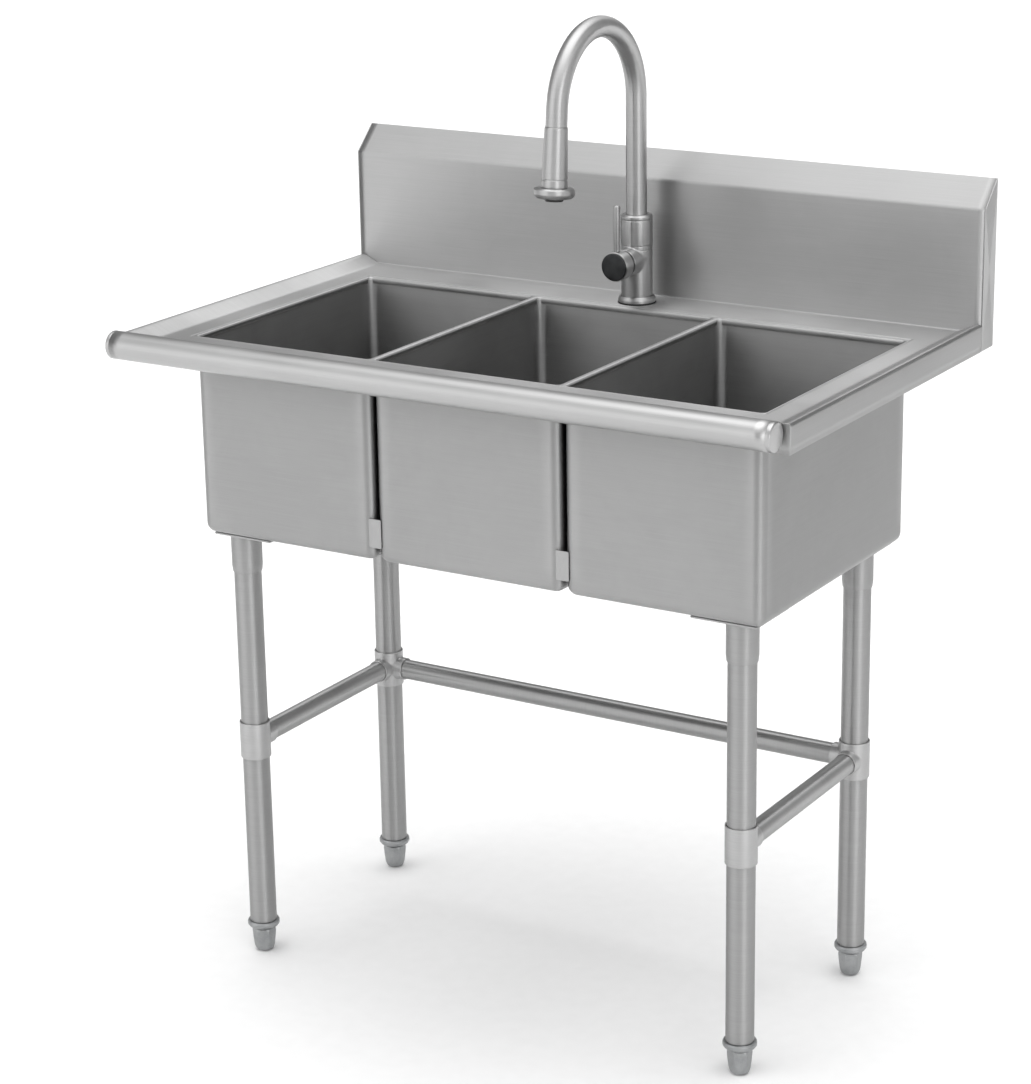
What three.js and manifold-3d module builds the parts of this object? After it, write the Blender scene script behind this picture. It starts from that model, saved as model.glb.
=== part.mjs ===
// Three compartment restaurant sink with backsplash, tube legs, cross rails and a pull-down faucet.
// Millimetres, +Z up. X runs left to right, the rolled front rim faces -Y and the backsplash stands
// at +Y. The origin is on the floor, under the middle of the overall box.
import * as THREE from 'three';
import { mergeVertices } from 'three/addons/utils/BufferGeometryUtils.js';
import Module from 'manifold-3d';

const wasm = await Module();
wasm.setup();

// ---------------------------------------------------------------- driving dimensions

const sheet = 1.5; // thickness of the stainless sheet
const gap = 0.3; // clearance between pieces that touch
const through = 2; // how far a cutting tool runs past the face it cuts

const sinkWidth = 1000;
const sinkDepth = 654;
const rimTop = 922; // top of the raised side borders
const deckTop = 910; // flat deck around the bowls
const flangeBottom = 885;
const borderWidth = 34; // sloping part of the side borders
const rimFlat = 8; // level strip along the outside of the side borders
const edgeRadius = 4;

const rollRadius = 19;
const rollLength = 986;
const rollAxisZ = 911.5;
const rollAxisY = -sinkDepth / 2 + rollRadius;
const rollOpening = 62; // degrees of the curl left open behind the rim
const frontSlopeStart = -250; // where the deck starts to rise to the roll
const trayFront = -286;

const splashDepth = 39;
const splashRear = sinkDepth / 2;
const splashFront = splashRear - splashDepth;
const splashShoulder = 1077; // top of the upright front panel
const splashTop = 1114;
const splashReturn = 42; // rear lip turned down from the top edge

const bowlPitch = 288;
const bowlCount = 3;
const bowlInnerWidth = 281;
const bowlInnerLength = 421;
const bowlCentreY = -4;
const bowlBottom = 633;
const bowlCornerRadius = 14;
const bowlFloorRadius = 13;
const bowlLip = 1.8; // lip turned out under the deck
const openingWidth = 279;
const openingLength = 414;
const openingCentreY = -3;
const openingCornerRadius = 5;
const drainHoleRadius = 45;

const spacerWidth = 19;
const spacerHeight = 40;
const spacerTop = 693;
const spacerInset = 0.5; // behind the bowls' front faces

const legRadius = 19;
const legX = 384.5;
const frontLegY = -179;
const rearLegY = 160;
const legBottom = 48;
const socketBottom = 575;
const socketWall = 2;
const gussetThickness = 2.5;
const gussetOuterX = 418;
const gussetInnerX = 324;
const gussetLength = 92;
const frontGussetEdge = -207;
const rearGussetEdge = 107;

const railRadius = 14.5;
const railZ = 326;
const collarHeight = 53;
const collarWall = 2.1;
const stubReach = 31; // end of a collar's rail stub, from the leg's axis
const stubRadius = 16.6;

const footRingRadius = 22.8;
const footRingHeight = 9.5;
const footHeight = 36;
const footStemRadius = 6;
const footPlugRadius = legRadius - sheet - gap;

const faucetY = 241;
const faucetHoleRadius = 17.5;
const shankRadius = 15.5;
const bodyRadius = 22;
const baseRingRadius = 26.4;
const baseRingTop = 11;
const bodyTop = 83.5;
const collarTop = 126;
const hoseBore = 12;
const barrelZ = 62;
const barrelRadius = 19;
const barrelEnd = 38;
const hubRadius = 20.5;
const hubStart = 44.5;
const hubEnd = 64;
const handleCapThickness = 2;
const leverRadius = 5;
const leverTop = 85; // above the barrel's axis
const spoutRadius = 14.8;
const spoutWall = 1.8;
const archRadius = 107;
const archCentreZ = 290;
const spoutSplay = 5; // degrees by which the outlet leans forward of plumb
const spoutEndLength = 20;
const archSteps = 20;
const sprayLength = 80;
const sprayRingHeight = 14;

const steelSatin = { color: 0xa9abac, roughness: 0.38, metalness: 1 };
const steelBrushed = { color: 0xb4b5b6, roughness: 0.3, metalness: 1 };
const steelTube = { color: 0xbcbdbe, roughness: 0.28, metalness: 1 };
const nickelBrushed = { color: 0xa6a4a1, roughness: 0.26, metalness: 1 };
const castZinc = { color: 0x9a9b9c, roughness: 0.45, metalness: 1 };
const darkCap = { color: 0x3c3c3d, roughness: 0.4, metalness: 0.6 };
const blackRubber = { color: 0x161616, roughness: 0.7, metalness: 0 };
const blackPlastic = { color: 0x1b1b1c, roughness: 0.5, metalness: 0 };
const braidedHose = { color: 0x8d8f91, roughness: 0.5, metalness: 0.6 };

// ---------------------------------------------------------------- solids

// A closed geometry, reduced to its positions and with its shared corners joined, as a solid.
function toSolid(geometry) {
  const bare = geometry.index ? geometry.toNonIndexed() : geometry.clone();
  bare.deleteAttribute('normal');
  bare.deleteAttribute('uv');
  const joined = mergeVertices(bare, 1e-4);
  const corners = joined.index.array;
  const kept = [];
  for (let i = 0; i < corners.length; i += 3) {
    const [a, b, c] = [corners[i], corners[i + 1], corners[i + 2]];
    if (a !== b && b !== c && c !== a) kept.push(a, b, c);
  }
  const vertProperties = new Float32Array(joined.attributes.position.array);
  const mesh = new wasm.Mesh({ numProp: 3, vertProperties, triVerts: new Uint32Array(kept) });
  return new wasm.Manifold(mesh);
}

function toGeometry(solid) {
  const mesh = solid.getMesh();
  const geometry = new THREE.BufferGeometry();
  geometry.setAttribute('position', new THREE.BufferAttribute(mesh.vertProperties, 3));
  geometry.setIndex(new THREE.BufferAttribute(mesh.triVerts, 1));
  geometry.computeVertexNormals();
  return geometry;
}

function extrude(shape, depth, curveSegments) {
  return new THREE.ExtrudeGeometry(shape, { depth, curveSegments, bevelEnabled: false });
}

// A plan outline in X and Y, raised from z0 to z1.
function raise(shape, z0, z1, curveSegments = 6) {
  return toSolid(extrude(shape, z1 - z0, curveSegments).translate(0, 0, z0));
}

// An outline in Y and Z, carried along X from x0 to x1.
function carryAlongX(shape, x0, x1, curveSegments = 6) {
  const geometry = extrude(shape, x1 - x0, curveSegments);
  return toSolid(geometry.rotateX(Math.PI / 2).rotateZ(Math.PI / 2).translate(x0, 0, 0));
}

// An outline in X and Z, carried along Y from y0 to y1.
function carryAlongY(shape, y0, y1, curveSegments = 6) {
  const geometry = extrude(shape, y1 - y0, curveSegments);
  return toSolid(geometry.rotateX(Math.PI / 2).translate(0, y1, 0));
}

// A closed outline of [radius, height] points turned about the Z axis. The outline runs up its
// outside and down its inside, so that the faces point out.
function turned(outline, segments = 24) {
  const points = outline.map(([radius, height]) => new THREE.Vector2(radius, height));
  points.push(points[0].clone());
  return toSolid(new THREE.LatheGeometry(points, segments).rotateX(Math.PI / 2));
}

function rod(radius, z0, z1, segments = 24) {
  return turned([[0, z0], [radius, z0], [radius, z1], [0, z1]], segments);
}

function pipe(outer, inner, z0, z1, segments = 24) {
  return turned([[inner, z0], [outer, z0], [outer, z1], [inner, z1]], segments);
}

function block(x0, x1, y0, y1, z0, z1) {
  const geometry = new THREE.BoxGeometry(x1 - x0, y1 - y0, z1 - z0);
  return toSolid(geometry.translate((x0 + x1) / 2, (y0 + y1) / 2, (z0 + z1) / 2));
}

function polygon(points) {
  return new THREE.Shape(points.map(([x, y]) => new THREE.Vector2(x, y)));
}

function roundedRectangle(width, length, radius, centreX = 0, centreY = 0) {
  const right = width / 2 - radius;
  const rear = length / 2 - radius;
  const shape = new THREE.Shape();
  shape.absarc(centreX + right, centreY + rear, radius, 0, Math.PI / 2);
  shape.absarc(centreX - right, centreY + rear, radius, Math.PI / 2, Math.PI);
  shape.absarc(centreX - right, centreY - rear, radius, Math.PI, 1.5 * Math.PI);
  shape.absarc(centreX + right, centreY - rear, radius, 1.5 * Math.PI, 2 * Math.PI);
  shape.closePath();
  return shape;
}

// ---------------------------------------------------------------- top: deck, roll, backsplash

// The tray's filled outline across X: side walls, level rim, slope, flat deck. `inset` shrinks it
// by the sheet's thickness to make the inside.
function acrossOutline(inset, bottom) {
  const half = sinkWidth / 2 - inset;
  const top = rimTop - inset;
  const rimInner = sinkWidth / 2 - rimFlat;
  const slopeFoot = sinkWidth / 2 - borderWidth;
  const shape = new THREE.Shape();
  shape.moveTo(-half, bottom);
  shape.lineTo(half, bottom);
  shape.absarc(half - edgeRadius, top - edgeRadius, edgeRadius, 0, Math.PI / 2);
  shape.lineTo(rimInner, top);
  shape.lineTo(slopeFoot, deckTop - inset);
  shape.lineTo(-slopeFoot, deckTop - inset);
  shape.lineTo(-rimInner, top);
  shape.absarc(-half + edgeRadius, top - edgeRadius, edgeRadius, Math.PI / 2, Math.PI);
  shape.closePath();
  return shape;
}

// The angle at which a straight line from the deck rises to touch the roll, and where it touches.
function rollTangent() {
  const run = frontSlopeStart - rollAxisY;
  const rise = rollAxisZ - deckTop;
  const reach = Math.hypot(run, rise);
  const slope = Math.asin(rollRadius / reach) + Math.atan2(rise, run);
  const y = rollAxisY + rollRadius * Math.sin(slope);
  const z = rollAxisZ + rollRadius * Math.cos(slope);
  return { slope, y, z };
}

// Height of the front slope at a depth y.
function frontSlopeHeight(y) {
  return deckTop + (frontSlopeStart - y) * Math.tan(rollTangent().slope);
}

function frontOutline(inset, bottom) {
  const front = trayFront + inset;
  return polygon([
    [front, bottom],
    [frontSlopeStart + 1, bottom],
    [frontSlopeStart + 1, deckTop - inset],
    [frontSlopeStart, deckTop - inset],
    [front, frontSlopeHeight(front) - inset],
  ]);
}

function trayBlock(inset, bottom) {
  const half = sinkWidth / 2 - inset;
  const rear = splashFront - inset;
  const deck = carryAlongY(acrossOutline(inset, bottom), trayFront + inset, rear, 2);
  return deck.add(carryAlongX(frontOutline(inset, bottom), -half, half));
}

function bowlCentreX(index) {
  return (index - (bowlCount - 1) / 2) * bowlPitch;
}

function topDeck() {
  let deck = trayBlock(0, flangeBottom).subtract(trayBlock(sheet, flangeBottom - through));
  for (let i = 0; i < bowlCount; i += 1) {
    const opening = roundedRectangle(
      openingWidth, openingLength, openingCornerRadius, bowlCentreX(i), openingCentreY);
    deck = deck.subtract(raise(opening, deckTop - sheet - through, rimTop, 3));
  }
  const faucetHole = rod(faucetHoleRadius, deckTop - sheet - through, rimTop);
  return deck.subtract(faucetHole.translate([0, faucetY, 0]));
}

// The curled rim: a flat tail that carries on the deck's front slope, then most of a circle.
function rollOutline() {
  const { slope, y, z } = rollTangent();
  const start = Math.PI / 2 - slope;
  const end = start + 2 * Math.PI - THREE.MathUtils.degToRad(rollOpening);
  const tailY = trayFront - gap;
  const inner = rollRadius - sheet;
  const shape = new THREE.Shape();
  shape.moveTo(tailY, frontSlopeHeight(tailY));
  shape.lineTo(y, z);
  shape.absarc(rollAxisY, rollAxisZ, rollRadius, start, end, false);
  shape.absarc(rollAxisY, rollAxisZ, inner, end, start, true);
  shape.lineTo(tailY, frontSlopeHeight(tailY) - sheet / Math.cos(slope));
  shape.closePath();
  return shape;
}

function frontRoll() {
  const half = rollLength / 2;
  const disc = new THREE.Shape();
  disc.absarc(rollAxisY, rollAxisZ, rollRadius, 0, 2 * Math.PI);
  const curl = carryAlongX(rollOutline(), -half, half, 11);
  const leftCap = carryAlongX(disc, -half, -half + sheet, 11);
  const rightCap = carryAlongX(disc, half - sheet, half, 11);
  return curl.add(leftCap).add(rightCap);
}

// The angle of the backsplash's sloping top, above the horizontal.
function splashSlope() {
  return Math.atan2(splashTop - splashShoulder, splashDepth);
}

function backsplash() {
  const front = splashFront + gap;
  const rear = splashRear;
  const shoulderDrop = sheet * Math.tan((Math.PI / 2 - splashSlope()) / 2);
  const topDrop = sheet * Math.tan((Math.PI / 2 + splashSlope()) / 2);
  const outline = polygon([
    [front, flangeBottom + gap],
    [front + sheet, flangeBottom + gap],
    [front + sheet, splashShoulder - shoulderDrop],
    [rear - sheet, splashTop - topDrop],
    [rear - sheet, splashTop - splashReturn],
    [rear, splashTop - splashReturn],
    [rear, splashTop],
    [front, splashShoulder],
  ]);
  const half = sinkWidth / 2 - sheet - gap;
  return carryAlongX(outline, -half, half);
}

function splashEnd(side) {
  const outline = polygon([
    [splashFront + gap, flangeBottom],
    [splashRear, flangeBottom],
    [splashRear, splashTop],
    [splashFront + gap, splashShoulder],
  ]);
  const outer = sinkWidth / 2;
  return side > 0
    ? carryAlongX(outline, outer - sheet, outer)
    : carryAlongX(outline, -outer, -outer + sheet);
}

// ---------------------------------------------------------------- bowls and drains

// A block with rounded upright corners and rounded lower edges; its rounded top is cut away.
function tub(width, length, corner, edge, bottom, top) {
  const shape = roundedRectangle(width, length, corner);
  const settings = { depth: top - bottom, curveSegments: 3, bevelEnabled: true, bevelSegments: 3 };
  settings.bevelThickness = edge;
  settings.bevelSize = edge;
  settings.bevelOffset = -edge;
  const rounded = new THREE.ExtrudeGeometry(shape, settings).translate(0, 0, bottom + edge);
  const upper = block(-width, width, -length, length, top, top + 4 * edge);
  return toSolid(rounded).subtract(upper);
}

function bowl() {
  const top = deckTop - sheet - gap;
  const width = bowlInnerWidth + 2 * sheet;
  const length = bowlInnerLength + 2 * sheet;
  const corner = bowlCornerRadius + sheet;
  const outer = tub(width, length, corner, bowlFloorRadius + sheet, bowlBottom, top);
  const lipShape = roundedRectangle(width + 2 * bowlLip, length + 2 * bowlLip, corner + bowlLip);
  const lip = raise(lipShape, top - sheet, top, 3);
  const inner = tub(bowlInnerWidth, bowlInnerLength, bowlCornerRadius, bowlFloorRadius,
    bowlBottom + sheet, top + through);
  const hole = rod(drainHoleRadius, bowlBottom - through, bowlBottom + sheet + through);
  return outer.add(lip).subtract(inner).subtract(hole);
}

function bowlSpacer() {
  return block(-spacerWidth / 2, spacerWidth / 2, 0, sheet, -spacerHeight, 0);
}

// The strainer cup, heights measured from the top of the bowl's floor.
function drainBody() {
  return turned([
    [19, -64], [22, -64], [22, -44], [43, -40], [43, gap],
    [57, gap], [56, 2.4], [41, 2.4], [41, -37.5], [19, -41.5],
  ]);
}

function drainLocknut() {
  const ring = pipe(54, 43.6, -15, -3);
  const lugs = [0, 1, 2, 3].map((i) => block(50, 60, -5, 5, -15, -7).rotate([0, 0, 45 + 90 * i]));
  return lugs.reduce((nut, lug) => nut.add(lug), ring);
}

// The lift-out basket: a pierced cup with a centre post and knob, hung on the drain's flange.
function strainerBasket() {
  const cup = turned([
    [0, -30], [33, -30], [37, 2.7], [44, 2.7], [44, 3.9],
    [35.6, 3.9], [31.8, -28.6], [0, -28.6],
  ], 20);
  const post = turned([
    [0, -29], [3.5, -29], [3.5, 4], [9, 6], [9, 11], [6, 13], [0, 13],
  ], 10);
  const holeCount = 8;
  const ring = [...Array(holeCount).keys()].map((i) => {
    const hole = rod(4, -32, -27, 6).translate([21, 0, 0]);
    return hole.rotate([0, 0, (360 * i) / holeCount]);
  });
  return ring.reduce((basket, hole) => basket.subtract(hole), cup.add(post));
}

// ---------------------------------------------------------------- legs, rails, feet

// The plate under a bowl's outer corner, drawn for the right-hand side.
function gusset(frontEdge) {
  const rearEdge = frontEdge + gussetLength;
  return block(gussetInnerX, gussetOuterX, frontEdge, rearEdge, -gussetThickness, 0);
}

function legSocket() {
  const top = bowlBottom - gussetThickness - 2 * gap;
  const inner = legRadius + gap;
  return pipe(inner + socketWall, inner, socketBottom, top, 20);
}

function leg() {
  const top = bowlBottom - gussetThickness - 4 * gap;
  return pipe(legRadius, legRadius - sheet, legBottom + gap, top, 20);
}

// A collar around a leg, with a stub for each rail. Each direction is the turn of a stub from +X.
function railCollar(directions) {
  const inner = legRadius + gap;
  const outer = inner + collarWall;
  const lower = railZ - collarHeight / 2;
  const upper = railZ + collarHeight / 2;
  const lying = (solid, degrees) => solid.rotate([0, 90, degrees]).translate([0, 0, railZ]);
  let collar = rod(outer, lower, upper, 20);
  for (const degrees of directions) {
    collar = collar.add(lying(rod(stubRadius, 0, stubReach, 16), degrees));
  }
  collar = collar.subtract(rod(inner, lower - through, upper + through, 20));
  for (const degrees of directions) {
    const bore = rod(railRadius + gap, outer, stubReach + through, 16);
    collar = collar.subtract(lying(bore, degrees));
  }
  return collar;
}

// A rail drawn along +Z from its start, to be laid down between two collars.
function rail(span) {
  const end = legRadius + gap + collarWall + gap;
  return pipe(railRadius, railRadius - sheet, end, span - end, 16);
}

function footInsert() {
  const bore = footStemRadius + 0.4;
  return turned([
    [bore, legBottom - footRingHeight], [footRingRadius - 2, legBottom - footRingHeight],
    [footRingRadius, legBottom - footRingHeight / 2], [footRingRadius, legBottom],
    [footPlugRadius, legBottom], [footPlugRadius, legBottom + 22], [bore, legBottom + 22],
  ], 20);
}

function bulletFoot() {
  const skirt = turned([
    [0, 0], [8, 0], [12.5, 2.5], [14.5, 8], [17.2, 30], [15.5, footHeight], [0, footHeight],
  ], 12);
  return skirt.add(rod(footStemRadius, footHeight - 1, footHeight + 48, 12));
}

// ---------------------------------------------------------------- faucet, measured from the deck

function faucetGasket() {
  return pipe(baseRingRadius + 0.5, shankRadius + gap, gap, 2);
}

function faucetBaseRing() {
  return turned([
    [bodyRadius + gap, 2.3], [baseRingRadius, 2.3], [baseRingRadius, 6],
    [bodyRadius + 2, baseRingTop], [bodyRadius + gap, baseRingTop],
  ]);
}

// Body and threaded shank as one casting, with the cartridge barrel standing out to the front.
function faucetBody() {
  const body = turned([
    [0, -58], [shankRadius, -58], [shankRadius, 2.3], [bodyRadius, 2.3],
    [bodyRadius, bodyTop - 1], [bodyRadius - 1, bodyTop], [0, bodyTop],
  ]);
  const barrel = rod(barrelRadius, 0, barrelEnd).rotate([90, 0, 0]).translate([0, 0, barrelZ]);
  const bore = rod(hoseBore, -58 - through, bodyTop + through, 20);
  return body.add(barrel).subtract(bore);
}

function faucetNut() {
  const hexagon = rod(26, -13, -2.2, 6);
  return hexagon.subtract(rod(shankRadius + gap, -13 - through, through));
}

// The dome over the cartridge, between the barrel and the handle's hub; drawn along +Z.
function cartridgeBonnet() {
  return turned([
    [0, barrelEnd + gap], [13, barrelEnd + gap], [12.2, barrelEnd + 5],
    [9.5, barrelEnd + 9], [5, barrelEnd + 11.5], [0, barrelEnd + 12],
  ], 16);
}

// The handle's cup-shaped hub, open towards the bonnet; drawn along +Z.
function handleHub() {
  return turned([
    [17, hubStart], [hubRadius, hubStart], [hubRadius, hubEnd - 1],
    [hubRadius - 1, hubEnd], [0, hubEnd], [0, hubEnd - 4], [17, hubEnd - 6],
  ]);
}

function handleCap() {
  const face = hubEnd + gap;
  return turned([
    [0, face], [19.4, face], [19.4, face + 1], [18.6, face + handleCapThickness],
    [0, face + handleCapThickness],
  ]);
}

function handleLever() {
  const foot = hubRadius + gap;
  return turned([
    [0, foot], [leverRadius - 0.6, foot], [leverRadius, leverTop - 2],
    [leverRadius - 1.5, leverTop], [0, leverTop],
  ], 16);
}

function spoutCollar() {
  const top = collarTop;
  return turned([
    [spoutRadius + gap, bodyTop + gap], [bodyRadius + 0.3, bodyTop + gap],
    [bodyRadius + 0.3, top - 3], [bodyRadius - 1.7, top - 0.8], [bodyRadius - 3.5, top],
    [spoutRadius + gap, top],
  ]);
}

// The spout's centre line: one step up to the arch, over it towards -Y, and one step down at the
// splay angle to the outlet.
function spoutPath() {
  const steps = archSteps + 2;
  const start = bodyTop + gap;
  const sweep = Math.PI - THREE.MathUtils.degToRad(spoutSplay);
  const onArch = (angle) => new THREE.Vector3(
    0, -archRadius * (1 - Math.cos(angle)), archCentreZ + archRadius * Math.sin(angle));
  const path = new THREE.Curve();
  path.getUtoTmapping = (u) => u;
  path.getPoint = (t) => {
    const step = t * steps;
    if (step < 1) return new THREE.Vector3(0, 0, start + (archCentreZ - start) * step);
    const beyond = Math.max(step - 1 - archSteps, 0);
    const point = onArch((Math.min(step - 1, archSteps) / archSteps) * sweep);
    return point.addScaledVector(outletDirection(), spoutEndLength * beyond);
  };
  return { path, steps };
}

function outletDirection() {
  const splay = THREE.MathUtils.degToRad(spoutSplay);
  return new THREE.Vector3(0, -Math.sin(splay), -Math.cos(splay));
}

function spoutTube() {
  const { path, steps } = spoutPath();
  const section = new THREE.Shape();
  section.absarc(0, 0, spoutRadius, 0, 2 * Math.PI);
  const bore = new THREE.Path();
  bore.absarc(0, 0, spoutRadius - spoutWall, 0, 2 * Math.PI, true);
  section.holes.push(bore);
  const settings = { steps, extrudePath: path, curveSegments: 8, bevelEnabled: false };
  return toSolid(new THREE.ExtrudeGeometry(section, settings));
}

// The spray head's pieces are drawn along +Z, from the spout's end to the nozzle.
function sprayBody() {
  return turned([
    [7, gap], [15.3, gap], [15.7, 2], [17.6, sprayLength], [7, sprayLength],
  ]);
}

function sprayRing() {
  const start = sprayLength + gap;
  const end = start + sprayRingHeight;
  return turned([
    [13, start], [25.6, start], [27.6, start + 1.6], [27.6, start + 5], [24.5, end - 1.5],
    [22.5, end], [13, end],
  ]);
}

function sprayNozzle() {
  const start = sprayLength + 4;
  return turned([
    [0, start], [12.5, start], [12.5, start + sprayRingHeight + 0.8],
    [11.5, start + sprayRingHeight], [0, start + sprayRingHeight],
  ], 16);
}

function sprayHoseEnd() {
  return rod(5.2, -46, sprayLength - 6, 16);
}

// ---------------------------------------------------------------- assembly

const sink = new THREE.Group();

function addPart(name, solid, look, parent = sink) {
  const mesh = new THREE.Mesh(toGeometry(solid), new THREE.MeshStandardMaterial(look));
  mesh.name = name;
  parent.add(mesh);
  return mesh;
}

addPart('top_deck', topDeck(), steelSatin);
addPart('front_roll', frontRoll(), steelBrushed);
addPart('backsplash', backsplash(), steelSatin);
addPart('splash_end_left', splashEnd(-1), steelSatin);
addPart('splash_end_right', splashEnd(1), steelSatin);

const bowlNames = ['left', 'middle', 'right'];
bowlNames.forEach((place, i) => {
  const well = new THREE.Group();
  well.position.set(bowlCentreX(i), bowlCentreY, 0);
  sink.add(well);
  addPart(`bowl_${place}`, bowl(), steelSatin, well);
  const floor = new THREE.Group();
  floor.position.z = bowlBottom + sheet;
  well.add(floor);
  addPart(`drain_body_${place}`, drainBody(), steelBrushed, floor);
  addPart(`drain_locknut_${place}`, drainLocknut(), castZinc, floor);
  addPart(`strainer_basket_${place}`, strainerBasket(), steelBrushed, floor);
});

// The spacers sit in the grooves between the bowls' rounded front corners.
const spacerY = bowlCentreY - bowlInnerLength / 2 - sheet + spacerInset;
[['left', -1], ['right', 1]].forEach(([place, side]) => {
  const spacer = addPart(`bowl_spacer_${place}`, bowlSpacer(), steelSatin);
  spacer.position.set((side * bowlPitch) / 2, spacerY, spacerTop);
});

// Rail stubs point to the next leg: from the front legs to the rear ones, and along the rear.
const corners = [
  { place: 'front_left', side: -1, y: frontLegY, stubs: [90], edge: frontGussetEdge },
  { place: 'front_right', side: 1, y: frontLegY, stubs: [90], edge: frontGussetEdge },
  { place: 'rear_left', side: -1, y: rearLegY, stubs: [-90, 0], edge: rearGussetEdge },
  { place: 'rear_right', side: 1, y: rearLegY, stubs: [-90, 180], edge: rearGussetEdge },
];
for (const { place, side, y, stubs, edge } of corners) {
  const plate = addPart(`gusset_${place}`, gusset(edge), steelSatin);
  plate.position.z = bowlBottom - gap;
  if (side < 0) plate.position.x = -gussetOuterX - gussetInnerX;
  const corner = new THREE.Group();
  corner.position.set(side * legX, y, 0);
  sink.add(corner);
  addPart(`leg_socket_${place}`, legSocket(), steelTube, corner);
  addPart(`leg_${place}`, leg(), steelTube, corner);
  addPart(`rail_collar_${place}`, railCollar(stubs), steelTube, corner);
  addPart(`foot_insert_${place}`, footInsert(), castZinc, corner);
  addPart(`foot_${place}`, bulletFoot(), castZinc, corner);
}

const sideSpan = rearLegY - frontLegY;
[['left', -1], ['right', 1]].forEach(([place, side]) => {
  const sideRail = addPart(`rail_${place}`, rail(sideSpan), steelTube);
  sideRail.position.set(side * legX, frontLegY, railZ);
  sideRail.rotation.x = -Math.PI / 2;
});
const rearRail = addPart('rail_rear', rail(2 * legX), steelTube);
rearRail.position.set(-legX, rearLegY, railZ);
rearRail.rotation.y = Math.PI / 2;

const faucet = new THREE.Group();
faucet.position.set(0, faucetY, deckTop);
sink.add(faucet);
addPart('faucet_gasket', faucetGasket(), blackRubber, faucet);
addPart('faucet_base_ring', faucetBaseRing(), nickelBrushed, faucet);
addPart('faucet_body', faucetBody(), nickelBrushed, faucet);
addPart('faucet_mounting_nut', faucetNut(), castZinc, faucet);

// The barrel's axis points to -Y, so pieces drawn along +Z are laid forward.
const barrel = new THREE.Group();
barrel.position.z = barrelZ;
barrel.rotation.x = Math.PI / 2;
faucet.add(barrel);
addPart('cartridge_bonnet', cartridgeBonnet(), castZinc, barrel);
addPart('handle_hub', handleHub(), nickelBrushed, barrel);
addPart('handle_cap', handleCap(), darkCap, barrel);
const lever = addPart('handle_lever', handleLever(), nickelBrushed, faucet);
lever.position.set(0, -(hubStart + hubEnd) / 2 - 2, barrelZ);

addPart('spout_collar', spoutCollar(), nickelBrushed, faucet);
addPart('spout_tube', spoutTube(), nickelBrushed, faucet);
const sprayHead = new THREE.Group();
sprayHead.position.copy(spoutPath().path.getPoint(1));
sprayHead.quaternion.setFromUnitVectors(new THREE.Vector3(0, 0, 1), outletDirection());
faucet.add(sprayHead);
addPart('spray_body', sprayBody(), nickelBrushed, sprayHead);
addPart('spray_ring', sprayRing(), nickelBrushed, sprayHead);
addPart('spray_nozzle', sprayNozzle(), blackPlastic, sprayHead);
addPart('spray_hose_end', sprayHoseEnd(), braidedHose, sprayHead);

export default sink;
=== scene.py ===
import math

import bmesh
import bpy
import numpy as np
from mathutils import Matrix, Vector


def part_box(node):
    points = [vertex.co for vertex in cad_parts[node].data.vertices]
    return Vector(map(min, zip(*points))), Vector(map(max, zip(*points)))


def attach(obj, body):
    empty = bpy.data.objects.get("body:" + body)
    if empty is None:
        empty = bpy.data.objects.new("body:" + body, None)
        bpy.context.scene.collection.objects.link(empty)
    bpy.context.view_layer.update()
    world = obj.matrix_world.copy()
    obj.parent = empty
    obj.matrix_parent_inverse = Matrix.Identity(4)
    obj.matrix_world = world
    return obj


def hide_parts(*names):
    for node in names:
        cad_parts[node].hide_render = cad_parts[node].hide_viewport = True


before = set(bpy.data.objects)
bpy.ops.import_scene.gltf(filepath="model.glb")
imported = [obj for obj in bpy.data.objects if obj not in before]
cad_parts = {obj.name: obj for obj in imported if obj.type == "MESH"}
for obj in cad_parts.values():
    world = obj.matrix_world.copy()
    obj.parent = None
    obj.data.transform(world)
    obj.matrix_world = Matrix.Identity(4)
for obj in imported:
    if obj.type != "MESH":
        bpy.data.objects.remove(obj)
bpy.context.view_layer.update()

# Three compartment stainless sink. Lengths in this script are millimetres, turned to metres
# when a mesh is made. +X right, +Y to the backsplash, +Z up, origin on the floor.

mm = 0.001
places = ["left", "middle", "right"]
# each leg's middle, and the headings in degrees of the rail stubs on its collar
legCorners = {
    "front_left": (-384.5, -179.0, [90]),
    "front_right": (384.5, -179.0, [90]),
    "rear_left": (-384.5, 160.0, [-90, 0]),
    "rear_right": (384.5, 160.0, [-90, 180]),
}
print("frame loaded:", len(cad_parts), "nodes")


# ---- camera, light and floor

view = {
    "target": (-2.5, -12.7, 638.6),
    "azimuth": 0.542837,
    "elevation": 0.303147,
    "roll": -0.0139409,
    "distance": 3992.6,
    "lens": 97.39,
    "shift": (-0.02755, -0.00768),
}


# the camera sits back from the target along its own axis, after a turn, a tilt and a slight roll
def placeCamera(setting):
    a = setting["azimuth"]
    e = setting["elevation"]
    back = np.array([math.sin(a) * math.cos(e), -math.cos(a) * math.cos(e), math.sin(e)])
    level = np.array([math.cos(a), math.sin(a), 0.0])
    upright = np.cross(back, level)
    c = math.cos(setting["roll"])
    s = math.sin(setting["roll"])
    right = c * level + s * upright
    up = c * upright - s * level
    spot = np.array(setting["target"]) * mm + back * setting["distance"] * mm
    data = bpy.data.cameras.new("studioCamera")
    data.lens = setting["lens"]
    data.shift_x = setting["shift"][0]
    data.shift_y = setting["shift"][1]
    data.clip_end = 200
    camera = bpy.data.objects.new("studioCamera", data)
    turn = np.stack([right, up, back], axis=1)
    camera.matrix_world = Matrix.Translation(Vector(spot)) @ Matrix(turn.tolist()).to_4x4()
    bpy.context.scene.collection.objects.link(camera)
    bpy.context.scene.camera = camera


placeCamera(view)
print("camera placed")


# ---- colours and nodes

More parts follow.
